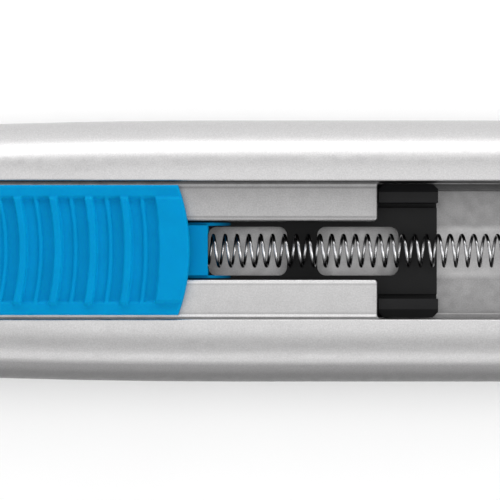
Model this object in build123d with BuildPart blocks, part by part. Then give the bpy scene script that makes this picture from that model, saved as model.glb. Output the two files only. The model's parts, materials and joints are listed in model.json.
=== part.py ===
from build123d import *
import math
import os

# Spring-return utility knife. Millimetres. +X runs from the blade end to the tail,
# +Z is up through the face that carries the thumb slider, and the knife lies on z = 0.

# ---- overall sizes of the handle ----
length = 144.0
width = 30.0
thickness = 14.0
side_flat = 0.1
rail_flat = 0.35
cap_length = 9.0
taper_radius = 920.0
front_taper_length = 77.1
rear_taper_length = 36.0
nose_corner_radius = 4.0
tail_corner_radius = 5.0
end_edge_radius = 2.0

# ---- section of the channel inside the handle ----
floor_thickness = 1.3
shelf_width = 0.65
channel_width = 15.5
lip_thickness = 2.0
lip_recess = 1.4
slot_width = 6.58
relief_width = 0.25
relief_depth = 0.35
lip_edge_radius = 0.3
rail_edge_radius = 0.25
lip_line_inset = 0.42
lip_line_width = 0.1
lip_line_depth = 0.05

# ---- the wide opening that lets the carrier in and out ----
opening_length = 21.3
opening_corner_radius = 0.45

# ---- clearances ----
slide_clearance = 0.15
seat_clearance = 0.05
screw_clearance = 0.02
blade_side_clearance = 0.35
seat_side_clearance = 0.3
groove_clearance = 0.1
ear_clearance = 0.3
slider_side_gap = 0.45
foot_clearance = 0.14
clamp_gap = 0.7
coil_clearance = 0.1

# ---- blade and blade carrier ----
travel = 22.0
blade_length = 60.0
blade_back_length = 33.0
blade_width = 18.7
blade_thickness = 0.6
blade_bevel_width = 1.8
blade_edge_land = 0.03
notch_pitch = 10.0
notch_radius = 1.35
notch_depth = 2.85
stud_radius = 1.13
plate_thickness = 1.55
plate_lead = 0.26
seat_overhang = 1.7
seat_corner = 1.5
seat_join = 2.0
head_length = 6.77
head_gap = 0.19
ear_width = 2.13
ear_groove_width = 0.51
ear_groove_floor = 0.65
ear_bevel_width = 0.94
ear_bevel_depth = 0.4
ear_corner = 0.6
window_web = 0.65
window_radius = 1.0
front_window_length = 9.07
rear_window_length = 9.36
window_bridge = 3.48
rear_window_reach = 2.42
magnet_radius = 3.0
magnet_thickness = 0.65
magnet_back = 13.4
peg_to_magnet = 5.41

# ---- thumb slider and its foot ----
slider_length = 37.1
slider_end_radius = 21.1
slider_border_height = 1.75
slider_pad_height = 2.25
slider_floor_height = 1.25
thin_rib_height = 1.6
pad_width = 11.8
groove_width = 1.27
thin_rib_width = 0.5
wide_rib_width = 0.88
groove_pairs = 7
pad_end_length = 3.39
groove_centre_back = 43.59
tongue_to_blade = 1.6
tongue_reach = 1.98
tongue_length = 6.57
tongue_roof = 0.505
tongue_step = 0.13
tongue_drop = 0.3
cheek_thickness = 0.32
cheek_reach = 2.58
cheek_height = 2.2
cheek_top_drop = 0.8
foot_length = 29.0
flange_width = 11.2
slider_screw_front = 5.0
slider_screw_rear = 5.5
tongue_root = 0.5
cheek_slant = 0.9
slider_chamfer = 0.12
slider_screw_cover = 0.35
peg_radius = 1.2

# ---- spring ----
wire_diameter = 0.36
coil_mean_radius = 1.765
coil_pitch = 1.348
coil_lift = 0.305
coil_tuck = 0.45
front_hook_reach = 2.12
rear_hook_reach = 2.3
rear_pin_inset = 3.992
front_pin_radius = 0.45
rear_pin_radius = 0.6
hook_clearance = 0.07
cavity_room = 0.7
hook_straight = 0.25
hook_lead = 0.75
hook_bend_radius = 0.25

# ---- stop, ends and fasteners ----
stop_to_blade = 2.6
stop_edge = 0.66
stop_radius = 1.0
stop_pin_recess = 0.2
stop_pin_chamfer = 0.15
sleeve_wall = 0.62
sleeve_recess = 0.3
nose_length = 6.0
nose_cover_length = 10.0
plug_length = 11.0
plug_slot_reach = 2.2
plug_slot_drop = 0.82
tail_key_reach = 1.9
lanyard_radius = 2.0
eyelet_wall = 0.5
eyelet_flange_width = 0.9
eyelet_flange_thickness = 0.4
eyelet_bore_round = 0.28
lanyard_back = 5.0
tail_screw_inset = 2.6
small_screw_radius = 0.8
nose_screw_radius = 1.0
tail_screw_radius = 1.25
screw_head_ratio = 1.85
slot_cut_width = 0.45

# ---- small allowances used in several pieces ----
overcut = 1.0
near = 0.01
block_chamfer = 0.4
cover_chamfer = 0.6
screw_cover = 0.5

# ---- widths that follow from the sizes above ----
side_radius = min(thickness / 2 - side_flat, (width - channel_width) / 2 - rail_flat)
blade_groove_width = blade_width + 2 * blade_side_clearance
seat_width = blade_groove_width - 2 * seat_side_clearance
floor_channel_width = channel_width - 2 * shelf_width
plate_width = channel_width - 2 * slide_clearance
slider_width = channel_width - 2 * slider_side_gap
foot_width = slot_width - 2 * foot_clearance
tongue_width = foot_width - 2 * cheek_thickness
coil_radius = coil_mean_radius + wire_diameter / 2
cavity_half_width = coil_radius + coil_clearance
sleeve_inner = stop_radius + screw_clearance
sleeve_outer = sleeve_inner + sleeve_wall
stop_slot_radius = sleeve_outer + coil_clearance
stop_side = plate_width / 2 - stop_slot_radius - stop_edge
window_width = 2 * (stop_side - stop_slot_radius - window_web)
ear_inner = plate_width / 2 - ear_width
web_half = ear_inner - ear_groove_width

# ---- heights, from the top of the rails down to the shelf ----
mid_z = thickness / 2
lip_top = thickness - lip_recess
lip_under = lip_top - lip_thickness
tongue_top = lip_top - tongue_drop
cavity_top = tongue_top - tongue_roof
coil_z = cavity_top - cavity_half_width
plate_top = coil_z - coil_radius - coil_lift
plate_bottom = plate_top - plate_thickness
shelf_height = plate_bottom - seat_clearance
groove_top = plate_top + groove_clearance
blade_bottom = plate_bottom
blade_top = blade_bottom + blade_thickness
seat_bottom = blade_top + seat_clearance
ear_top = lip_under - ear_clearance
slider_bottom = lip_top + seat_clearance
foot_bottom = plate_top + seat_clearance
flange_top = lip_under - coil_clearance

# ---- places along the knife, from the nose to the tail ----
nose_x = -length / 2
tail_x = length / 2
front_taper_start = nose_x + front_taper_length
rear_taper_start = tail_x - rear_taper_length
body_end_x = tail_x - cap_length
seat_front = nose_x + nose_length + clamp_gap + travel
blade_middle = seat_front + seat_overhang + notch_pitch / 2
blade_front = blade_middle - blade_length / 2
blade_rear = blade_middle + blade_length / 2
notch_y = blade_width / 2 - notch_depth + notch_radius
magnet_x = blade_rear - magnet_back
peg_x = magnet_x - peg_to_magnet
plate_front = blade_rear + plate_lead
stop_x = blade_rear + stop_to_blade

tongue_front = blade_rear + tongue_to_blade
tongue_face = tongue_front + tongue_length
slider_rear = tongue_face - tongue_reach
slider_front = slider_rear - slider_length
foot_front = tongue_front - foot_length
front_window_start = tongue_face - tongue_step
front_window_end = front_window_start + front_window_length
rear_window_start = front_window_end + window_bridge
rear_window_end = rear_window_start + rear_window_length
head_front = rear_window_end - rear_window_reach
head_rear = head_front + head_length
opening_front = head_front - head_gap
opening_rear = opening_front + opening_length
plug_front = body_end_x - plug_length
rear_pin_x = plug_front + rear_pin_inset
lanyard_x = tail_x - lanyard_back

coil_start = tongue_face - coil_tuck
coil_turns = round((rear_pin_x - rear_hook_reach - coil_start) / coil_pitch)
coil_end = coil_start + coil_turns * coil_pitch
front_pin_x = coil_start - front_hook_reach
cavity_front = front_pin_x - front_pin_radius - wire_diameter - hook_clearance - cavity_room
carriage_screw_x = (cavity_front + tongue_front) / 2
slider_screw_xs = (foot_front + slider_screw_front, tongue_front - slider_screw_rear)
nose_screw_x = nose_x + nose_length / 2
nose_screw_y = floor_channel_width / 4
tail_screw_x = body_end_x - tail_screw_inset


def half_width(x):
    """Half the handle's width at x: straight in the middle, a wide arc towards each end."""
    beyond = max(front_taper_start - x, x - rear_taper_start, 0.0)
    return width / 2 - (taper_radius - math.sqrt(taper_radius**2 - beyond**2))


def finish(builder, name):
    """Label a finished piece and write it."""
    builder.part.label = name
    export_step(builder.part, f"parts/{name}.step")
    return builder.part


def handle_form():
    """The whole outside of the knife as one solid: tapered in plan, round along both sides."""
    corners = {x: half_width(x) for x in (nose_x, front_taper_start, rear_taper_start, tail_x)}
    front_middle = (nose_x + front_taper_start) / 2
    rear_middle = (rear_taper_start + tail_x) / 2
    with BuildPart() as form:
        with BuildSketch(Plane.XY):
            with BuildLine():
                ThreePointArc(
                    (nose_x, corners[nose_x]),
                    (front_middle, half_width(front_middle)),
                    (front_taper_start, width / 2),
                )
                Line((front_taper_start, width / 2), (rear_taper_start, width / 2))
                ThreePointArc(
                    (rear_taper_start, width / 2),
                    (rear_middle, half_width(rear_middle)),
                    (tail_x, corners[tail_x]),
                )
                Line((tail_x, corners[tail_x]), (tail_x, 0))
                Line((nose_x, 0), (nose_x, corners[nose_x]))
                Line((tail_x, 0), (nose_x, 0))
            make_face()
            mirror(about=Plane.XZ)
        extrude(amount=thickness)
        long_edges = form.edges().filter_by(Axis.Z, reverse=True)
        long_edges = long_edges.filter_by(lambda edge: abs(edge.center().Y) > width / 4)
        fillet(long_edges, side_radius)
    return form.part


def end_trim(face_x, inward, corner_radius):
    """A block that rounds off one end of the handle form, in plan and seen from the side."""
    reach = length + overcut
    side = width
    bend_x = face_x + inward * corner_radius
    diagonal = corner_radius * (1 - math.sqrt(0.5))
    corner_y = half_width(bend_x)
    with BuildPart() as trim:
        with BuildSketch(Plane.XY):
            with BuildLine():
                Polyline((face_x, 0), (face_x, corner_y - corner_radius))
                ThreePointArc(
                    (face_x, corner_y - corner_radius),
                    (face_x + inward * diagonal, corner_y - diagonal),
                    (bend_x, corner_y),
                )
                Polyline(
                    (bend_x, corner_y),
                    (bend_x, side),
                    (face_x + inward * reach, side),
                    (face_x + inward * reach, 0),
                    (face_x, 0),
                )
            make_face()
            mirror(about=Plane.XZ)
        extrude(amount=thickness)
        end_edges = trim.edges().filter_by(Axis.Y)
        end_edges = end_edges.filter_by(lambda edge: abs(edge.center().X - face_x) < near)
        fillet(end_edges, end_edge_radius - near)
    return trim.part


def block(x_low, x_high, y_width, z_low, z_high, mode=Mode.ADD):
    """A rectangular block across the knife's middle plane, added to or cut from the open part."""
    with Locations(((x_low + x_high) / 2, 0, (z_low + z_high) / 2)):
        Box(x_high - x_low, y_width, z_high - z_low, mode=mode)


def flat_head_screw(x, y, z_head, z_tip, radius):
    """A countersunk screw with a straight slot; its head is at z_head and its tip at z_tip."""
    head_radius = radius * screw_head_ratio
    head_depth = head_radius - radius
    inward = 1 if z_tip > z_head else -1
    z_neck = z_head + inward * head_depth
    slot_depth = head_depth / 2
    with Locations((x, y, (z_neck + z_tip) / 2)):
        Cylinder(radius, abs(z_tip - z_neck))
    bottom, top = (head_radius, radius) if inward > 0 else (radius, head_radius)
    with Locations((x, y, (z_head + z_neck) / 2)):
        Cone(bottom, top, head_depth)
    with Locations((x, y, z_head + inward * slot_depth / 2)):
        Box(head_radius * 2, slot_cut_width, slot_depth, mode=Mode.SUBTRACT)


def screw_hole(x, y, z_head, z_tip, radius):
    """The clearance hole and countersink for flat_head_screw, cut from the open part."""
    hole_radius = radius + screw_clearance
    head_radius = radius * screw_head_ratio + screw_clearance
    head_depth = head_radius - hole_radius
    inward = 1 if z_tip > z_head else -1
    z_end = z_tip + inward * screw_clearance
    with Locations((x, y, (z_head + z_end) / 2)):
        Cylinder(hole_radius, abs(z_end - z_head), mode=Mode.SUBTRACT)
    bottom, top = (head_radius, hole_radius) if inward > 0 else (hole_radius, head_radius)
    with Locations((x, y, z_head + inward * head_depth / 2)):
        Cone(bottom, top, head_depth, mode=Mode.SUBTRACT)


os.makedirs("parts", exist_ok=True)
form_part = handle_form()
nose_trim = end_trim(nose_x, 1, nose_corner_radius)
tail_trim = end_trim(tail_x, -1, tail_corner_radius)

# ================= handle =================

# The handle is one drawn aluminium profile. Its channel has, from the floor up: a deep floor
# channel, a wide groove for the blade, guide walls for the carrier, and two lips with a slot
# between them that the thumb slider rides on.
nose_screw_tip = shelf_height - screw_cover
tail_screw_tip = thickness - 2 * screw_cover
with BuildPart() as handle_body:
    add(form_part)
    add(nose_trim, mode=Mode.INTERSECT)
    split(bisect_by=Plane.YZ.offset(body_end_x), keep=Keep.BOTTOM)
    with BuildSketch(Plane.YZ.offset(nose_x - overcut)):
        with Locations((0, floor_thickness)):
            Rectangle(floor_channel_width, lip_under - floor_thickness,
                      align=(Align.CENTER, Align.MIN))
        with Locations((0, shelf_height)):
            Rectangle(blade_groove_width, groove_top - shelf_height, align=(Align.CENTER, Align.MIN))
            Rectangle(channel_width, lip_under - shelf_height, align=(Align.CENTER, Align.MIN))
        with Locations((0, lip_under)):
            Rectangle(slot_width, thickness, align=(Align.CENTER, Align.MIN))
        with Locations((0, lip_top)):
            Rectangle(channel_width, thickness, align=(Align.CENTER, Align.MIN))
        with Locations((channel_width / 2, lip_top - relief_depth)):
            Rectangle(relief_width, thickness, align=(Align.MAX, Align.MIN))
        with Locations((-channel_width / 2, lip_top - relief_depth)):
            Rectangle(relief_width, thickness, align=(Align.MIN, Align.MIN))
    extrude(amount=length, mode=Mode.SUBTRACT)
    with BuildSketch(Plane.XY.offset(shelf_height)):
        with Locations(((opening_front + opening_rear) / 2, 0)):
            RectangleRounded(opening_length, channel_width, opening_corner_radius)
    extrude(amount=thickness, mode=Mode.SUBTRACT)
    lip_corners = handle_body.edges().filter_by(Axis.Z)
    lip_corners = lip_corners.filter_by(
        lambda edge: abs(abs(edge.center().Y) - slot_width / 2) < near
        and nose_x + overcut < edge.center().X < body_end_x - overcut
    )
    fillet(lip_corners, opening_corner_radius)
    lip_edges = handle_body.edges().filter_by_position(Axis.Z, lip_top - near, lip_top + near)
    lip_edges = lip_edges.filter_by(
        lambda edge: abs(edge.center().Y) < slot_width / 2 + near
        or edge.length < channel_width / 2
    )
    lip_edges = lip_edges.filter_by(
        lambda edge: nose_x + overcut < edge.center().X < body_end_x - overcut
    )
    fillet(lip_edges, lip_edge_radius)
    rail_edges = handle_body.edges().filter_by(Axis.X)
    rail_edges = rail_edges.filter_by(
        lambda edge: abs(edge.center().Z - thickness) < near
        and abs(abs(edge.center().Y) - channel_width / 2) < near
    )
    fillet(rail_edges, rail_edge_radius)
    for side in (-1, 1):
        lip_inner = slot_width / 2 + lip_line_inset
        lip_outer = channel_width / 2 - relief_width - lip_line_inset
        line_end = opening_front - lip_line_inset
        for x_low, x_high, y_low, y_high in (
            (nose_x - overcut, line_end, lip_inner, lip_inner + lip_line_width),
            (nose_x - overcut, line_end, lip_outer - lip_line_width, lip_outer),
            (line_end - lip_line_width, line_end, lip_inner, lip_outer),
        ):
            with Locations(((x_low + x_high) / 2, side * (y_low + y_high) / 2, lip_top)):
                Box(x_high - x_low, y_high - y_low, 2 * lip_line_depth, mode=Mode.SUBTRACT)
        screw_hole(nose_screw_x, side * nose_screw_y, 0, nose_screw_tip, nose_screw_radius)
    screw_hole(tail_screw_x, 0, 0, floor_thickness + overcut, tail_screw_radius)
    with Locations((stop_x, -stop_side, floor_thickness / 2)):
        Cylinder(stop_radius + screw_clearance, floor_thickness + overcut, mode=Mode.SUBTRACT)
finish(handle_body, "handle_body")

# The nose block fills the floor channel at the front; the blade slides out over it.
with BuildPart() as nose_block:
    block(nose_x, nose_x + nose_length, floor_channel_width - 2 * seat_clearance,
          floor_thickness + seat_clearance, shelf_height - screw_clearance)
    add(nose_trim, mode=Mode.INTERSECT)
    rear_edges = nose_block.edges().filter_by(Axis.Y).group_by(Axis.X)[-1]
    chamfer(rear_edges, block_chamfer)
    for side in (-1, 1):
        screw_hole(nose_screw_x, side * nose_screw_y, 0, nose_screw_tip, nose_screw_radius)
finish(nose_block, "nose_block")

with BuildPart() as nose_block_screws:
    for side in (-1, 1):
        flat_head_screw(nose_screw_x, side * nose_screw_y, 0, nose_screw_tip, nose_screw_radius)
finish(nose_block_screws, "nose_block_screws")

# The nose cover lies on the lips and is pulled down on them by the clamp below.
clamp_bottom = blade_top + slide_clearance
nose_cover_tip = clamp_bottom + screw_cover
with BuildPart() as nose_cover:
    block(nose_x, nose_x + nose_cover_length, channel_width - 2 * slide_clearance,
          lip_top + seat_clearance, thickness)
    add(nose_trim, mode=Mode.INTERSECT)
    rear_edges = nose_cover.edges().filter_by(Axis.Y).group_by(Axis.X)[-1]
    chamfer(rear_edges.sort_by(Axis.Z)[-1], cover_chamfer)
    block(nose_x, nose_x + nose_length, slot_width - 2 * slide_clearance,
          lip_under + screw_clearance, lip_top + seat_clearance)
    screw_hole(nose_screw_x, 0, thickness, nose_cover_tip, nose_screw_radius)
finish(nose_cover, "nose_cover")

with BuildPart() as nose_clamp:
    block(nose_x, nose_x + nose_length, channel_width - 2 * slide_clearance,
          clamp_bottom, lip_under - screw_clearance)
    rear_edges = nose_clamp.edges().filter_by(Axis.Y).group_by(Axis.X)[-1]
    chamfer(rear_edges, block_chamfer)
    screw_hole(nose_screw_x, 0, thickness, nose_cover_tip, nose_screw_radius)
finish(nose_clamp, "nose_clamp")

with BuildPart() as nose_cover_screw:
    flat_head_screw(nose_screw_x, 0, thickness, nose_cover_tip, nose_screw_radius)
finish(nose_cover_screw, "nose_cover_screw")

# The tail plug closes the channel, carries the spring's rear pin and ends in a cap with the
# lanyard hole. Its cap carries on the outside of the handle.
with BuildPart() as tail_plug:
    add(form_part)
    add(tail_trim, mode=Mode.INTERSECT)
    split(bisect_by=Plane.YZ.offset(body_end_x + screw_clearance), keep=Keep.TOP)
    block(plug_front, body_end_x + overcut, floor_channel_width - 2 * slide_clearance,
          floor_thickness + seat_clearance, lip_under - screw_clearance)
    block(plug_front, body_end_x + overcut, channel_width - 2 * slide_clearance,
          shelf_height + seat_clearance, lip_under - screw_clearance)
    block(plug_front - overcut, rear_pin_x + plug_slot_reach, 2 * cavity_half_width,
          coil_z - coil_radius - plug_slot_drop, lip_under, mode=Mode.SUBTRACT)
    with Locations(Location((rear_pin_x, 0, coil_z), (90, 0, 0))):
        Cylinder(rear_pin_radius + screw_clearance, channel_width + overcut, mode=Mode.SUBTRACT)
    screw_hole(tail_screw_x, 0, 0, tail_screw_tip, tail_screw_radius)
    bore_radius = lanyard_radius + eyelet_wall + screw_clearance
    flange_radius = lanyard_radius + eyelet_wall + eyelet_flange_width + screw_clearance
    with Locations((lanyard_x, 0, mid_z)):
        Cylinder(bore_radius, thickness + overcut, mode=Mode.SUBTRACT)
    for z_flange in (0, thickness):
        with Locations((lanyard_x, 0, z_flange)):
            Cylinder(flange_radius, 2 * (eyelet_flange_thickness + seat_clearance),
                     mode=Mode.SUBTRACT)
finish(tail_plug, "tail_plug")

# The tail cover closes the top of the channel behind the opening.
with BuildPart() as tail_cover:
    block(opening_rear + seat_clearance, body_end_x, channel_width - 2 * slide_clearance,
          lip_top + seat_clearance, thickness)
    front_edges = tail_cover.edges().filter_by(Axis.Y).group_by(Axis.X)[0]
    chamfer(front_edges.sort_by(Axis.Z)[-1], cover_chamfer)
    block(tail_screw_x - tail_key_reach, body_end_x, slot_width - 2 * slide_clearance,
          lip_under + screw_clearance, lip_top + seat_clearance)
    with Locations((tail_screw_x, 0, (lip_under + tail_screw_tip) / 2)):
        Cylinder(tail_screw_radius + screw_clearance, tail_screw_tip - lip_under + 2 * screw_clearance,
                 mode=Mode.SUBTRACT)
finish(tail_cover, "tail_cover")

with BuildPart() as tail_screw:
    flat_head_screw(tail_screw_x, 0, 0, tail_screw_tip, tail_screw_radius)
finish(tail_screw, "tail_screw")

with BuildPart() as lanyard_eyelet:
    outer_radius = lanyard_radius + eyelet_wall
    flange_outer = outer_radius + eyelet_flange_width
    with Locations((lanyard_x, 0, mid_z)):
        Cylinder(outer_radius, thickness - 2 * seat_clearance)
    for side in (-1, 1):
        z_flange = mid_z + side * (mid_z - seat_clearance - eyelet_flange_thickness / 2)
        with Locations((lanyard_x, 0, z_flange)):
            Cylinder(flange_outer, eyelet_flange_thickness)
    with Locations((lanyard_x, 0, mid_z)):
        Cylinder(lanyard_radius, thickness + overcut, mode=Mode.SUBTRACT)
    bore_edges = lanyard_eyelet.edges().filter_by(GeomType.CIRCLE)
    bore_edges = bore_edges.filter_by(lambda edge: abs(edge.radius - lanyard_radius) < near)
    fillet(bore_edges, eyelet_bore_round)
finish(lanyard_eyelet, "lanyard_eyelet")

with BuildPart() as anchor_pin:
    with Locations(Location((rear_pin_x, 0, coil_z), (90, 0, 0))):
        Cylinder(rear_pin_radius, channel_width - 2 * slide_clearance)
finish(anchor_pin, "anchor_pin")

# The stop pin stands in the floor and reaches up through a slot in the carrier. A rubber
# sleeve on it takes the knock when the spring pulls the carriage back.
with BuildPart() as stop_pin:
    with Locations((stop_x, -stop_side, stop_pin_recess)):
        Cylinder(stop_radius, plate_top - 2 * stop_pin_recess,
                 align=(Align.CENTER, Align.CENTER, Align.MIN))
    chamfer(stop_pin.edges().group_by(Axis.Z)[-1], stop_pin_chamfer)
finish(stop_pin, "stop_pin")

with BuildPart() as buffer_sleeve:
    with Locations((stop_x, -stop_side, plate_bottom)):
        Cylinder(sleeve_outer, plate_thickness - sleeve_recess,
                 align=(Align.CENTER, Align.CENTER, Align.MIN))
        Cylinder(sleeve_inner, plate_thickness, mode=Mode.SUBTRACT,
                 align=(Align.CENTER, Align.CENTER, Align.MIN))
finish(buffer_sleeve, "buffer_sleeve")

# ================= sliding carriage =================

# The blade is a trapezoid with a ground edge along its long side and two notches in its back.
with BuildPart() as blade:
    edge_y = -blade_width / 2
    back_y = blade_width / 2
    with BuildSketch(Plane.XY.offset(blade_bottom)):
        Polygon(
            (blade_front, edge_y),
            (blade_rear, edge_y),
            (blade_middle + blade_back_length / 2, back_y),
            (blade_middle - blade_back_length / 2, back_y),
            align=None,
        )
        for side in (-1, 1):
            notch_x = blade_middle + side * notch_pitch / 2
            with Locations((notch_x, notch_y)):
                Circle(notch_radius, mode=Mode.SUBTRACT)
            with Locations((notch_x, back_y)):
                Rectangle(2 * notch_radius, 2 * (back_y - notch_y), mode=Mode.SUBTRACT)
    extrude(amount=blade_thickness)
    ground = blade.edges().filter_by(Axis.X).group_by(Axis.Y)[0]
    ground_face = blade.faces().sort_by(Axis.Y)[0]
    chamfer(ground, blade_thickness / 2 - blade_edge_land, blade_bevel_width,
            reference=ground_face)
finish(blade, "blade")

# The carrier is a flat ladder of plastic. Its thin front part holds the blade down on the
# shelf, its middle has the two windows and the stop slot, and its head has two tall ears that
# run along the channel walls.
with BuildPart() as blade_carrier:
    block(plate_front, head_rear, plate_width,
          plate_bottom, plate_top)
    with BuildSketch(Plane.XY.offset(seat_bottom)):
        with Locations(((seat_front + blade_rear) / 2, 0)):
            RectangleRounded(blade_rear - seat_front, seat_width, seat_corner)
    extrude(amount=plate_top - seat_bottom)
    block(blade_rear - seat_join, plate_front + seat_join, plate_width, seat_bottom, plate_top)
    with BuildSketch(Plane.XY.offset(plate_bottom)):
        for x_start, x_end in (
            (front_window_start, front_window_end),
            (rear_window_start, rear_window_end),
        ):
            with Locations(((x_start + x_end) / 2, 0)):
                RectangleRounded(x_end - x_start, window_width, window_radius)
        with Locations((stop_x + travel / 2, -stop_side)):
            SlotOverall(travel + 2 * stop_slot_radius, 2 * stop_slot_radius)
        for side in (-1, 1):
            with Locations((blade_middle + side * notch_pitch / 2, notch_y)):
                Circle(stud_radius + screw_clearance)
        with Locations((peg_x, 0)):
            Circle(peg_radius + seat_clearance)
    extrude(amount=plate_thickness, mode=Mode.SUBTRACT)
    with Locations((magnet_x, 0, seat_bottom)):
        Cylinder(magnet_radius + screw_clearance, magnet_thickness + seat_clearance,
                 align=(Align.CENTER, Align.CENTER, Align.MIN), mode=Mode.SUBTRACT)
    for side in (-1, 1):
        with BuildSketch(Plane.XY.offset(plate_top)):
            with Locations(((head_front + head_rear) / 2, side * (ear_inner + ear_width / 2))):
                Rectangle(head_length, ear_width)
        extrude(amount=ear_top - plate_top)
        block_y = side * (web_half + ear_groove_width / 2)
        with Locations(((head_front + head_rear) / 2, block_y,
                        plate_bottom + ear_groove_floor + plate_thickness / 2)):
            Box(head_length, ear_groove_width, plate_thickness, mode=Mode.SUBTRACT)
    ear_corners = blade_carrier.edges().filter_by(Axis.Z)
    ear_corners = ear_corners.filter_by(
        lambda edge: abs(edge.center().Y) > ear_inner + near
        and edge.center().X > head_front - near
        and edge.center().Z > plate_top
    )
    chamfer(ear_corners, ear_corner)
    for side in (-1, 1):
        ear_face = blade_carrier.faces().group_by(Axis.Z)[-1].sort_by(Axis.Y)[0 if side < 0 else -1]
        ear_edges = ear_face.edges().filter_by(Axis.X).sort_by(Axis.Y)
        outer_edge = ear_edges[0 if side < 0 else -1]
        chamfer(outer_edge, ear_bevel_width, ear_bevel_depth, reference=ear_face)
    screw_hole(carriage_screw_x, 0, plate_bottom, plate_top + overcut, small_screw_radius)
finish(blade_carrier, "blade_carrier")

with BuildPart() as blade_studs:
    for side in (-1, 1):
        with Locations((blade_middle + side * notch_pitch / 2, notch_y, plate_bottom)):
            Cylinder(stud_radius, plate_thickness,
                     align=(Align.CENTER, Align.CENTER, Align.MIN))
finish(blade_studs, "blade_studs")

with BuildPart() as blade_magnet:
    with Locations((magnet_x, 0, seat_bottom)):
        Cylinder(magnet_radius, magnet_thickness,
                 align=(Align.CENTER, Align.CENTER, Align.MIN))
finish(blade_magnet, "blade_magnet")

# The foot runs in the slot between the lips. Its flanges hook under them, its tongue holds the
# front end of the spring, and two thin cheeks reach back beside the first coils.
with BuildPart() as slider_foot:
    block(foot_front, tongue_front, foot_width, foot_bottom, lip_top)
    block(foot_front, tongue_front, flange_width, foot_bottom, flange_top)
    block(tongue_front - tongue_root, tongue_face, tongue_width, foot_bottom, tongue_top)
    cheek_z = tongue_top - cheek_top_drop
    with BuildSketch(Plane.XZ.offset(-foot_width / 2)):
        with BuildLine():
            Polyline(
                (tongue_front - tongue_root, cheek_z - cheek_height),
                (tongue_face + cheek_reach - cheek_slant, cheek_z - cheek_height),
                (tongue_face + cheek_reach, cheek_z),
                (tongue_front - tongue_root, cheek_z),
                close=True,
            )
        make_face()
    extrude(amount=foot_width)
    block(cavity_front, tongue_face + cheek_reach + overcut, 2 * cavity_half_width,
          foot_bottom - overcut, cavity_top, mode=Mode.SUBTRACT)
    block(tongue_face, tongue_face + cheek_reach + overcut, tongue_width,
          foot_bottom - overcut, lip_top, mode=Mode.SUBTRACT)
    with Locations((peg_x, 0, seat_bottom + seat_clearance)):
        Cylinder(peg_radius, foot_bottom - seat_bottom,
                 align=(Align.CENTER, Align.CENTER, Align.MIN))
    with Locations(Location((front_pin_x, 0, coil_z), (90, 0, 0))):
        Cylinder(front_pin_radius + screw_clearance, tongue_width + overcut, mode=Mode.SUBTRACT)
    screw_hole(carriage_screw_x, 0, plate_bottom, cavity_top, small_screw_radius)
    for x in slider_screw_xs:
        screw_hole(x, 0, foot_bottom, lip_top + overcut, small_screw_radius)
finish(slider_foot, "slider_foot")

with BuildPart() as carriage_screw:
    flat_head_screw(carriage_screw_x, 0, plate_bottom, cavity_top - screw_cover, small_screw_radius)
finish(carriage_screw, "carriage_screw")

slider_screw_tip = slider_bottom + slider_floor_height - slider_screw_cover
with BuildPart() as slider_screws:
    for x in slider_screw_xs:
        flat_head_screw(x, 0, foot_bottom, slider_screw_tip, small_screw_radius)
finish(slider_screws, "slider_screws")

with BuildPart() as spring_pin:
    with Locations(Location((front_pin_x, 0, coil_z), (90, 0, 0))):
        Cylinder(front_pin_radius, tongue_width - 2 * seat_clearance)
finish(spring_pin, "spring_pin")


def slider_outline(outline_width):
    """The slider's plan: straight sides, and both ends swollen outward in a wide arc."""
    half = outline_width / 2
    inset = slider_end_radius - math.sqrt(slider_end_radius**2 - half**2)
    with BuildSketch() as outline:
        with BuildLine():
            ThreePointArc(
                (slider_rear - inset, half), (slider_rear, 0), (slider_rear - inset, -half)
            )
            Line((slider_rear - inset, -half), (slider_front + inset, -half))
            ThreePointArc(
                (slider_front + inset, -half), (slider_front, 0), (slider_front + inset, half)
            )
            Line((slider_front + inset, half), (slider_rear - inset, half))
        make_face()
    return outline.sketch


# The grip: pairs of grooves with a thin low rib inside each pair and a wide full-height rib
# between pairs. All edges are arcs about one centre ahead of the slider.
groove_centre_x = slider_rear - groove_centre_back
pair_pitch = 2 * groove_width + thin_rib_width + wide_rib_width
base_outline = slider_outline(slider_width)
pad_outline = slider_outline(pad_width)
with BuildPart() as thumb_slider:
    with BuildSketch(Plane.XY.offset(slider_bottom)):
        add(base_outline)
    extrude(amount=slider_border_height)
    with BuildSketch(Plane.XY.offset(slider_bottom + slider_border_height)):
        add(pad_outline)
    extrude(amount=slider_pad_height - slider_border_height)
    chamfer(thumb_slider.edges().group_by(Axis.Z)[-1], slider_chamfer)
    for pair in range(groove_pairs):
        outer = slider_rear - pad_end_length - pair * pair_pitch - groove_centre_x
        inner = outer - 2 * groove_width - thin_rib_width
        rib_outer = outer - groove_width
        rib_inner = rib_outer - thin_rib_width
        middle_of_outer_groove = (outer + rib_outer) / 2
        middle_of_inner_groove = (rib_inner + inner) / 2
        for ring_outer, ring_inner, floor in (
            (outer, rib_outer, slider_floor_height),
            (rib_inner, inner, slider_floor_height),
            (middle_of_outer_groove, middle_of_inner_groove, thin_rib_height),
        ):
            with BuildSketch(Plane.XY.offset(slider_bottom + floor)):
                with Locations((groove_centre_x, 0)):
                    Circle(ring_outer)
                    Circle(ring_inner, mode=Mode.SUBTRACT)
                with Locations((groove_centre_x + ring_outer, 0)):
                    Rectangle(2 * ring_outer, pad_width, mode=Mode.INTERSECT)
            extrude(amount=slider_pad_height, mode=Mode.SUBTRACT)
    for x in slider_screw_xs:
        with Locations((x, 0, slider_bottom)):
            Cylinder(small_screw_radius + screw_clearance,
                     slider_floor_height - slider_screw_cover + seat_clearance,
                     align=(Align.CENTER, Align.CENTER, Align.MIN), mode=Mode.SUBTRACT)
finish(thumb_slider, "thumb_slider")

# ================= spring =================

# A right-handed tension spring about an axis along X. At each end a hook starts against the
# last coil, turns in to the axis and loops round its pin.


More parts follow.
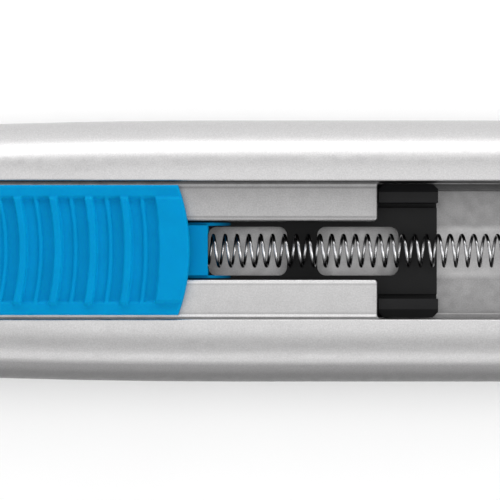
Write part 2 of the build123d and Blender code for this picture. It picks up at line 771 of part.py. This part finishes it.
def hook_wire(start, pin_x, pin_radius, towards):
    """The centre line from a coil end at the top of the coil down to a loop round a pin."""
    loop = pin_radius + wire_diameter / 2 + hook_clearance
    top = coil_z + coil_mean_radius
    with BuildLine(Plane.XZ) as line:
        wire_side = start + towards * (wire_diameter / 2 + screw_clearance)
        drop_start = wire_side + towards * hook_straight
        drop_end = pin_x - towards * hook_lead
        FilletPolyline((wire_side, top), (drop_start, top), (drop_end, coil_z + loop),
                       (pin_x, coil_z + loop), radius=hook_bend_radius)
        ThreePointArc((pin_x, coil_z + loop), (pin_x + towards * loop, coil_z),
                      (pin_x, coil_z - loop))
    return line.line


coil_plane = Plane(origin=(coil_start, 0, coil_z), x_dir=(0, 0, 1), z_dir=(1, 0, 0))
coil = coil_plane * Helix(coil_pitch, coil_turns * coil_pitch, coil_mean_radius)
with BuildPart() as return_spring:
    with BuildSketch(Plane(origin=coil @ 0, z_dir=coil % 0)):
        Circle(wire_diameter / 2)
    sweep(path=coil, is_frenet=True)
    for start, pin_x, pin_radius, towards in (
        (coil_start, front_pin_x, front_pin_radius, -1),
        (coil_end, rear_pin_x, rear_pin_radius, 1),
    ):
        path = hook_wire(start, pin_x, pin_radius, towards)
        with BuildSketch(Plane(origin=path @ 0, z_dir=path % 0)):
            Circle(wire_diameter / 2)
        sweep(path=path)
finish(return_spring, "return_spring")
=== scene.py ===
import json
import math

import bmesh
import bpy
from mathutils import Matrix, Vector


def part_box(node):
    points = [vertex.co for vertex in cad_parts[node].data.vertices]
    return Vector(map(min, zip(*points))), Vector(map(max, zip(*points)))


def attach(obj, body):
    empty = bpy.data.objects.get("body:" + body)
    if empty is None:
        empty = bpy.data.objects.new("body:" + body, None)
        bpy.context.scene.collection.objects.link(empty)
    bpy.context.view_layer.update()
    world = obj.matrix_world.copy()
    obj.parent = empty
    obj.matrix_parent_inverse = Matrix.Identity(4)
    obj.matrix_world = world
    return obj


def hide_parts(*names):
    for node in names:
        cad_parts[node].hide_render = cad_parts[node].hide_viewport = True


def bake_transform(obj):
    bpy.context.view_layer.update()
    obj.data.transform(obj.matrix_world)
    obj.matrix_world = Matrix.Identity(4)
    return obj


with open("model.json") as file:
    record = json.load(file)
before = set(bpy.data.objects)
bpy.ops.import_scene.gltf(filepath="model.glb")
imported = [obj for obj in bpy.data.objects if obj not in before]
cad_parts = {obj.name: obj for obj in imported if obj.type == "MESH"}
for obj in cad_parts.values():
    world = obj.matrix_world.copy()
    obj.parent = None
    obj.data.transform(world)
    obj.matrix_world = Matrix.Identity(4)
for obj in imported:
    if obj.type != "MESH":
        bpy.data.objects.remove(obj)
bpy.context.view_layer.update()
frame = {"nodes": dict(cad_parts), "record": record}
scene = bpy.context.scene

MM = 0.001
COVER_CLEARANCE = 0.15 * MM  # from the nose cover to each wall of the channel
RAIL_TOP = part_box("handle_body")[1].z
CHANNEL_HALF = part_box("nose_cover")[1].y + COVER_CLEARANCE
FOOT_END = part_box("slider_foot")[1].x / MM


# ---------- node helpers ----------

# Most of a noise texture's values lie between these two.
NOISE_LOW = 0.3
NOISE_HIGH = 0.7


def new_material(name):
    """A node material, with its node tree and its shader."""
    material = bpy.data.materials.new(name)
    material.use_nodes = True
    tree = material.node_tree
    return material, tree, tree.nodes["Principled BSDF"]


def object_axes(tree, kind):
    """X, Y and Z of the place on the object ("Object") or of the way it faces ("Normal")."""
    coordinates = tree.nodes.new("ShaderNodeTexCoord")
    axes = tree.nodes.new("ShaderNodeSeparateXYZ")
    tree.links.new(coordinates.outputs[kind], axes.inputs["Vector"])
    return axes.outputs


def noise(tree, scale, detail=2.0, stretch=(1, 1, 1)):
    """Noise in object space, in features per metre, stretched along the axes."""
    coordinates = tree.nodes.new("ShaderNodeTexCoord")
    mapping = tree.nodes.new("ShaderNodeMapping")
    mapping.inputs["Scale"].default_value = stretch
    texture = tree.nodes.new("ShaderNodeTexNoise")
    texture.inputs["Scale"].default_value = scale
    texture.inputs["Detail"].default_value = detail
    tree.links.new(coordinates.outputs["Object"], mapping.inputs["Vector"])
    tree.links.new(mapping.outputs["Vector"], texture.inputs["Vector"])
    return texture.outputs["Fac"]


def ramp(tree, source, low, high, low_colour, high_colour):
    """Map a value between two points onto two colours."""
    node = tree.nodes.new("ShaderNodeValToRGB")
    node.color_ramp.elements[0].position = low
    node.color_ramp.elements[1].position = high
    node.color_ramp.elements[0].color = (*low_colour, 1)
    node.color_ramp.elements[1].color = (*high_colour, 1)
    tree.links.new(source, node.inputs["Fac"])
    return node.outputs["Color"]


def value_curve(tree, source, stops):
    """A value through (position, value) stops, with straight parts between them."""
    node = tree.nodes.new("ShaderNodeValToRGB")
    elements = node.color_ramp.elements
    while len(elements) < len(stops):
        elements.new(0.5)
    for element, (position, value) in zip(elements, stops):
        element.position = position
        element.color = (value, value, value, 1)
    tree.links.new(source, node.inputs["Fac"])
    return node.outputs["Color"]


def map_range(tree, source, low, high, to_low, to_high):
    """A clamped straight-line map of a value."""
    node = tree.nodes.new("ShaderNodeMapRange")
    node.inputs["From Min"].default_value = low
    node.inputs["From Max"].default_value = high
    node.inputs["To Min"].default_value = to_low
    node.inputs["To Max"].default_value = to_high
    tree.links.new(source, node.inputs["Value"])
    return node.outputs["Result"]


def spread(tree, source, low, high):
    """Map a noise value onto a range."""
    return map_range(tree, source, NOISE_LOW, NOISE_HIGH, low, high)


def multiply(tree, first, second):
    """The product of two values."""
    node = tree.nodes.new("ShaderNodeMath")
    node.operation = "MULTIPLY"
    tree.links.new(first, node.inputs[0])
    tree.links.new(second, node.inputs[1])
    return node.outputs["Value"]


def blend_value(tree, factor, constant, value):
    """The constant where the factor is 0 and the value where it is 1."""
    node = tree.nodes.new("ShaderNodeMix")
    node.data_type = "FLOAT"
    # The Mix node has a pair of inputs for each type of data; 2 and 3 are the pair for floats.
    node.inputs[2].default_value = constant
    tree.links.new(factor, node.inputs[0])
    tree.links.new(value, node.inputs[3])
    return node.outputs[0]


def tint(tree, colour, shade):
    """A colour multiplied by a value."""
    node = tree.nodes.new("ShaderNodeVectorMath")
    node.operation = "SCALE"
    tree.links.new(colour, node.inputs[0])
    tree.links.new(shade, node.inputs["Scale"])
    return node.outputs["Vector"]


def bump(tree, shader, source, distance, strength, previous=None):
    """Raise the surface by a height signal, on top of an earlier normal if given."""
    node = tree.nodes.new("ShaderNodeBump")
    node.inputs["Distance"].default_value = distance
    node.inputs["Strength"].default_value = strength
    tree.links.new(source, node.inputs["Height"])
    if previous is not None:
        tree.links.new(previous, node.inputs["Normal"])
    tree.links.new(node.outputs["Normal"], shader.inputs["Normal"])


def scaled(colour, factor):
    """A fixed colour, brighter or darker by a factor."""
    return tuple(channel * factor for channel in colour)


# ---------- aluminium ----------

ALUMINIUM = (0.49, 0.485, 0.487)
SPARKLE = 0.09  # how far the grain takes the colour up and down

# Heights that part the channel's section into the zones of painted shade below.
LIPS_TOP = RAIL_TOP - 1.36 * MM
LIPS_BOTTOM = RAIL_TOP - 3.5 * MM
LEDGE_BOTTOM = RAIL_TOP - 9.0 * MM
FLOOR_BOTTOM = 0.6 * MM  # within the floor's thickness, so that the back is left out
ZONE_SOFTNESS = 0.02 * MM
WALL_FADE = (CHANNEL_HALF - 0.01 * MM, CHANNEL_HALF + 0.03 * MM)

# Painted shade and highlight across each zone: millimetres from the middle plane, and a factor
# on the colour, under 1 for painted shade and over 1 for painted highlight.
LIP_PAINTED_LIGHT_AND_SHADE = (
    (-7.75, 0.40), (-7.54, 0.55), (-7.48, 1.30), (-7.24, 1.25), (-7.18, 0.66),
    (-7.08, 0.70), (-7.0, 0.84), (-4.0, 0.88), (-3.90, 0.76), (-3.78, 0.76),
    (-3.70, 1.15), (-3.44, 1.15), (-3.29, 0.66),
    (3.29, 0.50), (3.44, 0.68), (3.62, 0.64), (3.68, 0.50), (3.80, 0.50),
    (3.92, 0.70), (5.6, 0.62), (6.9, 0.52), (7.06, 0.36), (7.18, 0.37),
    (7.26, 0.55), (7.46, 0.52), (7.54, 0.24), (7.75, 0.24))
LEDGE_PAINTED_SHADE = (
    (-7.75, 0.50), (-7.3, 0.52), (-7.2, 0.76), (-7.1, 0.76), (7.1, 0.18), (7.75, 0.14))
FLOOR_PAINTED_SHADE = (
    (-7.1, 0.62), (-3.2, 0.62), (-2.6, 0.88), (2.6, 0.84), (3.2, 0.54), (7.1, 0.54))
CHANNEL_PAINTED_SHADE_ZONES = (
    (LIPS_BOTTOM, LIPS_TOP, LIP_PAINTED_LIGHT_AND_SHADE),
    (LEDGE_BOTTOM, LIPS_BOTTOM, LEDGE_PAINTED_SHADE),
    (FLOOR_BOTTOM, LEDGE_BOTTOM, FLOOR_PAINTED_SHADE))

# Painted shade round the lower flank: 0 where the surface faces -Y, and 1 where it is level or
# faces +Y.
FLANK_PAINTED_SHADE = ((0.0, 0.26), (0.14, 0.36), (0.28, 0.58), (0.36, 1.0))


def across_channel(tree, y, stops):
    """A value curve across the knife; the stops give millimetres from the middle plane."""
    across = map_range(tree, y, -CHANNEL_HALF, CHANNEL_HALF, 0, 1)
    half = CHANNEL_HALF / MM
    return value_curve(tree, across, [((place + half) / (2 * half), value)
                                      for place, value in stops])


def band(tree, value, low, high):
    """One between the two limits and zero outside them, with a soft change at each."""
    above_low = map_range(tree, value, low - ZONE_SOFTNESS, low + ZONE_SOFTNESS, 0, 1)
    below_high = map_range(tree, value, high - ZONE_SOFTNESS, high + ZONE_SOFTNESS, 1, 0)
    return multiply(tree, above_low, below_high)


def blasted_aluminium():
    """Bead-blasted, clear-anodised aluminium: even grey with fine sparkle and faint cloudiness.
    Along both edges each lip has a painted highlight band with a painted dark line beside it.
    Painted shade darkens the relief at the walls, the upper lip, the ledge, the channel's floor
    and the lower flank."""
    material, tree, shader = new_material("blasted_aluminium")
    grain = noise(tree, scale=7000, detail=1.0)
    colour = ramp(tree, grain, low=0.30, high=0.72, low_colour=scaled(ALUMINIUM, 1 - SPARKLE),
                  high_colour=scaled(ALUMINIUM, 1 + SPARKLE))
    place = object_axes(tree, "Object")
    from_middle = tree.nodes.new("ShaderNodeMath")
    from_middle.operation = "ABSOLUTE"
    tree.links.new(place["Y"], from_middle.inputs[0])
    inside = map_range(tree, from_middle.outputs["Value"], *WALL_FADE, 1, 0)
    # Painted shade and highlight across the channel's zones, then painted shade on the lower
    # flank, all multiplied into the colour.
    painted_shades = []
    for low, high, stops in CHANNEL_PAINTED_SHADE_ZONES:
        zone = multiply(tree, inside, band(tree, place["Z"], low, high))
        painted_shades.append(blend_value(tree, zone, 1.0, across_channel(tree, place["Y"], stops)))
    # Painted shade on the lower flank, set by which way the surface faces.
    facing = object_axes(tree, "Normal")
    flank = map_range(tree, facing["Y"], -1, 0, 0, 1)
    painted_shades.append(value_curve(tree, flank, FLANK_PAINTED_SHADE))
    shade = painted_shades[0]
    for following in painted_shades[1:]:
        shade = multiply(tree, shade, following)
    tree.links.new(tint(tree, colour, shade), shader.inputs["Base Color"])
    shader.inputs["Metallic"].default_value = 1.0
    cloud = noise(tree, scale=900)
    tree.links.new(spread(tree, cloud, low=0.34, high=0.42), shader.inputs["Roughness"])
    bump(tree, shader, noise(tree, scale=9000), distance=0.000006, strength=0.6)
    return material


# ---------- plastics and steels ----------

ROUGHNESS_RANGE = 0.05
PLASTIC_BUMP = 0.7
SUBSURFACE_DEPTH = 0.6 * MM
BEVEL_SAMPLES = 6
STREAK_HEIGHT = 0.000004
# The factors by which the streaks take a steel's colour and roughness down and up.
STREAK_TONE = (0.86, 1.08)
STREAK_ROUGHNESS = (0.8, 1.25)


def moulded_plastic(name, colour, roughness, grain_scale, grain_depth, variation, specular,
                    edge_radius=0.0, softness=0.0, painted_shading=None):
    """Moulded plastic with a fine spark-eroded texture and slightly uneven colour. The painted
    shading, if given, is painted shade: an axis and (millimetre, value) stops that darken the
    colour along it."""
    material, tree, shader = new_material(name)
    patches = noise(tree, scale=450, detail=3.0)
    shade = ramp(tree, patches, NOISE_LOW, NOISE_HIGH, scaled(colour, 1 - variation),
                 scaled(colour, 1 + variation))
    if painted_shading:
        # Painted shade: the colour is darkened along an axis.
        axis, stops = painted_shading
        low, high = stops[0][0], stops[-1][0]
        place = object_axes(tree, "Object")
        along = map_range(tree, place[axis], low * MM, high * MM, 0, 1)
        curve = value_curve(tree, along, [((stop - low) / (high - low), value)
                                          for stop, value in stops])
        shade = tint(tree, shade, curve)
    tree.links.new(shade, shader.inputs["Base Color"])
    grain = noise(tree, grain_scale)
    tree.links.new(spread(tree, grain, roughness - ROUGHNESS_RANGE, roughness + ROUGHNESS_RANGE),
                   shader.inputs["Roughness"])
    shader.inputs["Specular IOR Level"].default_value = specular
    shader.inputs["Subsurface Weight"].default_value = softness
    shader.inputs["Subsurface Scale"].default_value = SUBSURFACE_DEPTH
    rounded = None
    if edge_radius:
        edge = tree.nodes.new("ShaderNodeBevel")
        edge.samples = BEVEL_SAMPLES
        edge.inputs["Radius"].default_value = edge_radius
        rounded = edge.outputs["Normal"]
    bump(tree, shader, grain, grain_depth, PLASTIC_BUMP, rounded)
    return material


# Painted shade round the spring's wire, darkest on its sides: 0 where it faces -Y, 1 where it
# faces +Y.
WIRE_PAINTED_SHADE = ((0.0, 0.2), (0.22, 0.25), (0.38, 0.8), (0.45, 1.0),
              (0.55, 1.0), (0.66, 0.7), (0.78, 0.22), (1.0, 0.18))


def drawn_steel(name, colour, roughness, stretch=(1, 1, 1), streak_scale=1500,
                bump_strength=0.5, painted_shade_flanks=False):
    """Bright steel with uneven tone, stretched into drawing or grinding streaks along an axis
    if asked. With painted-shade flanks, painted shade darkens its sides facing -Y and +Y, as on
    the spring's wire."""
    material, tree, shader = new_material(name)
    streaks = noise(tree, streak_scale, detail=3.0, stretch=stretch)
    dark, light = STREAK_TONE
    shade = ramp(tree, streaks, NOISE_LOW, NOISE_HIGH, scaled(colour, dark),
                 scaled(colour, light))
    if painted_shade_flanks:
        # Painted shade on the wire's sides that face -Y and +Y.
        facing = object_axes(tree, "Normal")
        side = map_range(tree, facing["Y"], -1, 1, 0, 1)
        shade = tint(tree, shade, value_curve(tree, side, WIRE_PAINTED_SHADE))
    tree.links.new(shade, shader.inputs["Base Color"])
    shader.inputs["Metallic"].default_value = 1.0
    smooth, rough = STREAK_ROUGHNESS
    tree.links.new(spread(tree, streaks, roughness * smooth, roughness * rough),
                   shader.inputs["Roughness"])
    bump(tree, shader, streaks, STREAK_HEIGHT, bump_strength)
    return material


BLUE = (0.0, 0.243, 0.51)
# The foot's blue is the slider's blue darkened by painted shade, as the foot lies deeper in the
# slot.
FOOT_BLUE_PAINTED_SHADE = scaled(BLUE, 0.88)
# Painted shade by height, from just under the floor of the slider's grooves to the top of its
# pads:
# the raised ribs and pads are darker than the grooves' floors.
SLIDER_PAINTED_SHADE = ("Z", ((13.8, 1.0), (14.3, 0.98), (14.45, 0.93), (14.9, 0.96)))
# Painted shade towards the rear ends of the foot's cheeks, down to near black at their tips.
FOOT_CHEEK_PAINTED_SHADE = ("X", ((FOOT_END - 40, 1.0), (FOOT_END - 2.3, 1.0),
                    (FOOT_END - 1.2, 0.55), (FOOT_END, 0.12)))

materials = {
    "handle_aluminium": blasted_aluminium(),
    "black_plastic": moulded_plastic(
        "cap_plastic", (0.014, 0.014, 0.015), roughness=0.55, grain_scale=5200,
        grain_depth=0.000012, variation=0.15, specular=0.35),
    "carrier_black": moulded_plastic(
        "carrier_plastic", (0.0085, 0.0085, 0.009), roughness=0.5, grain_scale=6000,
        grain_depth=0.000004, variation=0.12, specular=0.16, edge_radius=0.06 * MM),
    "slider_blue": moulded_plastic(
        "slider_plastic", BLUE, roughness=0.62, grain_scale=6500, grain_depth=0.000004,
        variation=0.03, specular=0.03, softness=0.3, painted_shading=SLIDER_PAINTED_SHADE),
    "screw_steel": drawn_steel("zinc_steel", (0.55, 0.56, 0.58), 0.3),
    "pin_steel": drawn_steel("ground_steel", (0.68, 0.68, 0.68), 0.22),
    "eyelet_steel": drawn_steel("plated_steel", (0.72, 0.71, 0.69), 0.18, stretch=(1, 1, 0.2)),
    "spring_steel": drawn_steel("spring_wire", (0.66, 0.66, 0.67), 0.16, streak_scale=900,
                                bump_strength=0.08, painted_shade_flanks=True),
    "blade_steel": drawn_steel("blade_steel", (0.62, 0.63, 0.65), 0.28, stretch=(0.08, 1, 1),
                               streak_scale=3500),
    "magnet_nickel": drawn_steel("nickel", (0.7, 0.68, 0.63), 0.2),
    "buffer_rubber": moulded_plastic(
        "dull_rubber", (0.03, 0.03, 0.03), roughness=0.8, grain_scale=4000,
        grain_depth=0.00001, variation=0.2, specular=0.3),
}
# The foot shares the slider's slot, but has its own rounded edges and painted shade: a darker
# blue, darker still towards its cheeks' tips.
foot_plastic_painted_shade = moulded_plastic(
    "foot_plastic_painted_shade", FOOT_BLUE_PAINTED_SHADE, roughness=0.62, grain_scale=6500, grain_depth=0.000004,
    variation=0.03, specular=0.03, edge_radius=0.1 * MM, softness=0.3, painted_shading=FOOT_CHEEK_PAINTED_SHADE)

slot_of = {entry["node"]: entry["material_slot"] for entry in frame["record"]["subparts"]}
for name, node in frame["nodes"].items():
    node.data.materials.clear()
    node.data.materials.append(
        foot_plastic_painted_shade if name == "slider_foot" else materials[slot_of[name]])


# ---------- spring ----------

WIRE = 0.36 * MM
COIL_RADIUS = 1.765 * MM
PITCH = 1.348 * MM
TURNS = 39
HOOK_REACH = 2.12 * MM  # from the front pin to the first turn
HOOK_CLEARANCE = 0.07 * MM  # between a hook and its pin
WIRE_SIDES = 12
STEPS_PER_TURN = 40
HOOK_STEPS = 15
HOOK_STEP_ANGLE = 15  # degrees
BEND_STEPS = 14
BEND_PULL = 0.7 * MM  # how far each bend runs on in the coil's direction
BEND_PULL_AT_PIN = 1.4  # the same at the pin, as a factor on it
COIL_DIRECTION = Vector((0.12, -0.993, 0))  # of the wire where the coil starts and ends


def tube(name, path, radius, sides):
    """A closed round tube along a list of points."""
    mesh = bpy.data.meshes.new(name)
    shape = bmesh.new()
    rings = []
    normal = Vector((0, 0, 1))
    for index, point in enumerate(path):
        ahead = path[min(index + 1, len(path) - 1)]
        behind = path[max(index - 1, 0)]
        tangent = (ahead - behind).normalized()
        normal = (normal - tangent * normal.dot(tangent)).normalized()
        across = tangent.cross(normal)
        ring = []
        for side in range(sides):
            angle = 2 * math.pi * side / sides
            ring.append(shape.verts.new(
                point + (normal * math.cos(angle) + across * math.sin(angle)) * radius))
        rings.append(ring)
    for first, second in zip(rings, rings[1:]):
        for side in range(sides):
            following = (side + 1) % sides
            shape.faces.new((first[side], first[following], second[following], second[side]))
    shape.faces.new(list(reversed(rings[0])))
    shape.faces.new(rings[-1])
    bmesh.ops.recalc_face_normals(shape, faces=shape.faces)
    shape.to_mesh(mesh)
    shape.free()
    for face in mesh.polygons:
        face.use_smooth = len(face.vertices) == 4
    piece = bpy.data.objects.new(name, mesh)
    scene.collection.objects.link(piece)
    return piece


def bezier(points, count):
    """Points along one cubic curve, without its first point."""
    a, b, c, d = points
    result = []
    for step in range(1, count + 1):
        t = step / count
        result.append(a * (1 - t) ** 3 + b * 3 * t * (1 - t) ** 2
                      + c * 3 * t * t * (1 - t) + d * t ** 3)
    return result


def pin_middle_and_radius(name):
    """A round pin's place along the knife and its radius."""
    low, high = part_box(name)
    return (low.x + high.x) / 2, (high.x - low.x) / 2


def make_spring():
    """One smooth wire: a hook round each pin, a bend from each hook, and the coil between."""
    low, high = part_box("return_spring")
    axis_z = (low.z + high.z) / 2
    front_x, front_pin = pin_middle_and_radius("spring_pin")
    rear_x, rear_pin = pin_middle_and_radius("anchor_pin")
    front_loop = front_pin + WIRE / 2 + HOOK_CLEARANCE
    rear_loop = rear_pin + WIRE / 2 + HOOK_CLEARANCE
    coil_start = front_x + HOOK_REACH

    coil = []
    for step in range(TURNS * STEPS_PER_TURN + 1):
        angle = 2 * math.pi * step / STEPS_PER_TURN
        coil.append(Vector((coil_start + PITCH * step / STEPS_PER_TURN,
                            -COIL_RADIUS * math.sin(angle),
                            axis_z + COIL_RADIUS * math.cos(angle))))
    front_hook = []
    rear_hook = []
    for step in range(1, HOOK_STEPS + 1):
        angle = math.radians(HOOK_STEP_ANGLE * step)
        front_hook.append(Vector((front_x - front_loop * math.sin(angle), 0,
                                  axis_z + front_loop * math.cos(angle))))
        rear_hook.append(Vector((rear_x + rear_loop * math.sin(angle), 0,
                                 axis_z + rear_loop * math.cos(angle))))
    front_top = Vector((front_x, 0, axis_z + front_loop))
    rear_top = Vector((rear_x, 0, axis_z + rear_loop))
    coil_pull = COIL_DIRECTION * BEND_PULL
    pin_pull = Vector((1, 0, 0)) * BEND_PULL * BEND_PULL_AT_PIN
    front = bezier((coil[0], coil[0] - coil_pull, front_top + pin_pull, front_top), BEND_STEPS)
    rear = bezier((coil[-1], coil[-1] + coil_pull, rear_top - pin_pull, rear_top), BEND_STEPS)
    path = list(reversed(front_hook)) + list(reversed(front)) + coil + rear + rear_hook
    piece = tube("return_spring_wire", path, WIRE / 2, WIRE_SIDES)
    piece.data.materials.append(materials["spring_steel"])
    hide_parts("return_spring")
    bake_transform(piece)


make_spring()


# ---------- thumb slider ----------

# Sizes in millimetres, as on the CAD slider.
END_RADIUS = 21.1
BORDER_HEIGHT = 1.75
PAD_HEIGHT = 2.25
GROOVE_HEIGHT = 1.25
THIN_RIB_HEIGHT = 1.6
PAD_HALF = 5.9
GROOVE = 1.27
THIN_RIB = 0.5
WIDE_RIB = 0.88
RIB_PITCH = 2 * GROOVE + THIN_RIB + WIDE_RIB
PAIRS = 7
PAD_END = 3.39
ARC_CENTRE = 43.59
# The roundings and the mesh's density, which the CAD slider doesn't have.
EDGE_ROUND = 0.28
STEP_SOFTNESS = 0.14
RIB_END_BULGE = 0.25
ROWS = 66
COLUMNS = 340
# Across one pair of grooves: where the height changes, and by how much.
RIB_STEPS = (
    (0, GROOVE_HEIGHT - PAD_HEIGHT),
    (GROOVE, THIN_RIB_HEIGHT - GROOVE_HEIGHT),
    (GROOVE + THIN_RIB, GROOVE_HEIGHT - THIN_RIB_HEIGHT),
    (2 * GROOVE + THIN_RIB, PAD_HEIGHT - GROOVE_HEIGHT))
# Distances from the outline, closer together towards it, for the rounded edge.
NEAR_EDGE = [EDGE_ROUND * (1 - math.cos(math.radians(angle))) for angle in range(0, 91, 18)]


def soft_step(value, edge):
    """0 below the edge and 1 above it, with a rounded step between."""
    t = min(max((value - edge) / STEP_SOFTNESS + 0.5, 0.0), 1.0)
    return t * t * (3 - 2 * t)


def grip_height(x, y, rear):
    """The slider's height at a point, before its outline is rounded off."""
    centre = rear - ARC_CENTRE
    depth = rear - PAD_END - centre - math.hypot(x - centre, y)
    height = PAD_HEIGHT
    for pair in range(PAIRS):
        for place, change in RIB_STEPS:
            height += change * soft_step(depth, pair * RIB_PITCH + place)
    reach = PAD_HALF
    if y < 0 and GROOVE < depth < PAIRS * RIB_PITCH - WIDE_RIB:
        across = (depth % RIB_PITCH - (RIB_PITCH - WIDE_RIB / 2)) / (WIDE_RIB / 2)
        if abs(across) < 1:
            reach += RIB_END_BULGE * math.sqrt(1 - across * across)
    border = soft_step(abs(y), reach)
    return height * (1 - border) + BORDER_HEIGHT * border


def rounded_edge_spacing(low, high, count):
    """Points from low to high: evenly spaced inside, and as NEAR_EDGE says at both ends."""
    inner_low = low + EDGE_ROUND
    span = high - low - 2 * EDGE_ROUND
    points = [low + gap for gap in NEAR_EDGE[:-1]]
    points += [inner_low + span * step / count for step in range(count + 1)]
    points += [high - gap for gap in reversed(NEAR_EDGE[:-1])]
    return points


def make_slider():
    """The slider as a height field over its outline, with straight sides and a flat bottom."""
    low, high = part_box("thumb_slider")
    front, rear = low.x / MM, high.x / MM
    half = high.y / MM
    bottom = low.z / MM
    ys = rounded_edge_spacing(-half, half, ROWS)
    verts = []
    for y in ys:
        bow = END_RADIUS - math.sqrt(END_RADIUS ** 2 - y * y)
        x_low, x_high = front + bow, rear - bow
        for x in rounded_edge_spacing(x_low, x_high, COLUMNS):
            gap = min(half - abs(y), x - x_low, x_high - x)
            inward = max(EDGE_ROUND - gap, 0.0)
            drop = EDGE_ROUND - math.sqrt(max(EDGE_ROUND ** 2 - inward ** 2, 0.0))
            verts.append((x, y, bottom + grip_height(x, y, rear) - drop))
    wide = COLUMNS + 1 + 2 * (len(NEAR_EDGE) - 1)
    tall = len(ys)
    faces = [(row * wide + column, row * wide + column + 1,
              (row + 1) * wide + column + 1, (row + 1) * wide + column)
             for row in range(tall - 1) for column in range(wide - 1)]
    rim = list(range(wide - 1))
    rim += [row * wide + wide - 1 for row in range(tall - 1)]
    rim += [(tall - 1) * wide + column for column in range(wide - 1, 0, -1)]
    rim += [row * wide for row in range(tall - 1, 0, -1)]
    base = len(verts)
    verts += [(verts[index][0], verts[index][1], bottom) for index in rim]
    count = len(rim)
    for index in range(count):
        following = (index + 1) % count
        faces.append((rim[following], rim[index], base + index, base + following))
    faces.append(tuple(base + index for index in reversed(range(count))))
    mesh = bpy.data.meshes.new("thumb_slider_grip")
    mesh.from_pydata([Vector(vert) * MM for vert in verts], [], faces)
    for face in mesh.polygons:
        face.use_smooth = len(face.vertices) == 4
    for edge in mesh.edges:
        if min(edge.vertices) >= base:
            edge.use_edge_sharp = True
    piece = bpy.data.objects.new("thumb_slider_grip", mesh)
    scene.collection.objects.link(piece)
    mesh.materials.append(materials["slider_blue"])
    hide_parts("thumb_slider")
    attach(piece, "carriage")


make_slider()


# ---------- floor, light and camera ----------

FLOOR_SIZE = 4
FLOOR_DARK = (0.945, 0.945, 0.945)
FLOOR_LIGHT = (0.965, 0.965, 0.965)
SOFTBOX_DISTANCE = 0.95
SOFTBOX_LENGTH = 2.6
# Each long softbox: name, degrees from straight above, side of the knife, depth and power.
SOFTBOXES = (
    ("softbox_back", 65.5, 1, 0.40, 9.6),
    ("softbox_front", 70, -1, 0.13, 2.5))


def make_floor():
    """A plain pale floor, very slightly uneven in tone."""
    material, tree, shader = new_material("pale_floor")
    patches = noise(tree, scale=30, detail=3.0)
    tone = ramp(tree, patches, NOISE_LOW, NOISE_HIGH, FLOOR_DARK, FLOOR_LIGHT)
    tree.links.new(tone, shader.inputs["Base Color"])
    shader.inputs["Roughness"].default_value = 0.85
    bpy.ops.mesh.primitive_plane_add(size=FLOOR_SIZE)
    floor = bpy.context.object
    floor.name = "floor"
    floor.data.materials.append(material)


def add_area(name, place, aim, size_x, size_y, power):
    """A white rectangular light, aimed at a point."""
    data = bpy.data.lights.new(name, "AREA")
    data.shape = "RECTANGLE"
    data.size = size_x
    data.size_y = size_y
    data.energy = power
    light = bpy.data.objects.new(name, data)
    light.location = place
    direction = Vector(aim) - Vector(place)
    light.rotation_euler = direction.to_track_quat("-Z", "Y").to_euler()
    scene.collection.objects.link(light)


make_floor()

for name, tilt, side, depth, power in SOFTBOXES:
    lean = math.radians(tilt)
    place = (0, side * SOFTBOX_DISTANCE * math.sin(lean), SOFTBOX_DISTANCE * math.cos(lean))
    add_area(name, place, (0, 0, 0), SOFTBOX_LENGTH, depth, power)
add_area("softbox_top", place=(0, 0.03, 1.5), aim=(0, 0, 0), size_x=1.6, size_y=1.6, power=6.3)
add_area("fill_tail", place=(1.15, -0.45, 0.75), aim=(0.03, -0.03, 0), size_x=0.9, size_y=0.9,
         power=6.0)

world = bpy.data.worlds.new("studio")
world.use_nodes = True
background = world.node_tree.nodes["Background"]
background.inputs["Color"].default_value = (1, 1, 1, 1)
background.inputs["Strength"].default_value = 0.72
scene.world = world

# Straight above the knife; the shift sets the photo's framing.
camera_data = bpy.data.cameras.new("camera")
camera = bpy.data.objects.new("camera", camera_data)
scene.collection.objects.link(camera)
camera.location = (0.012, -0.00482, 0.301)
camera_data.lens = 184.1
camera_data.sensor_width = 36
camera_data.shift_x = -0.1
camera_data.shift_y = 0.086
camera_data.clip_start = 0.01
scene.camera = camera
scene.view_settings.view_transform = "Standard"
